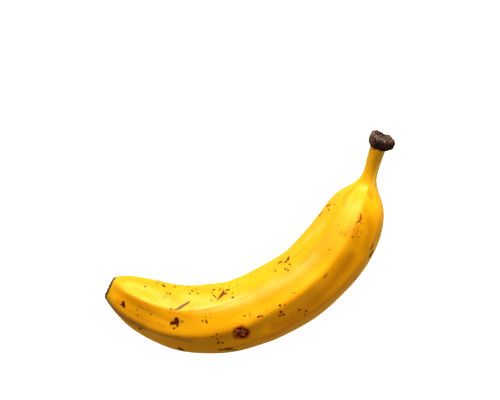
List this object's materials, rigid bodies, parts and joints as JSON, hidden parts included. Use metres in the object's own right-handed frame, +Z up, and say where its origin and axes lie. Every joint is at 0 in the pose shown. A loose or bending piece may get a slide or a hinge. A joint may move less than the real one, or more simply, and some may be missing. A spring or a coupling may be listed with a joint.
{
  "type": "banana",
  "caption": "Whole ripe banana in its peel, lying on its side: curved ridged body, slim neck, dark cut stem stump and blunt blossom end.",
  "frame": {"origin": "middle of the bounding box's underside, on the surface that the fruit lies on; inside the bend, just beside the body", "axes": "+X along the fruit from the blossom end to the stem, +Y to the inside of the bend, +Z up, towards the side that the picture shows"},
  "size_m": [0.18, 0.0772, 0.0369],
  "materials": {
    "peel": "satin yellow peel with brown specks, spots and one round bruise"
  },
  "bodies": {
    "root": {"banana": "peel"}
  },
  "joints": []
}
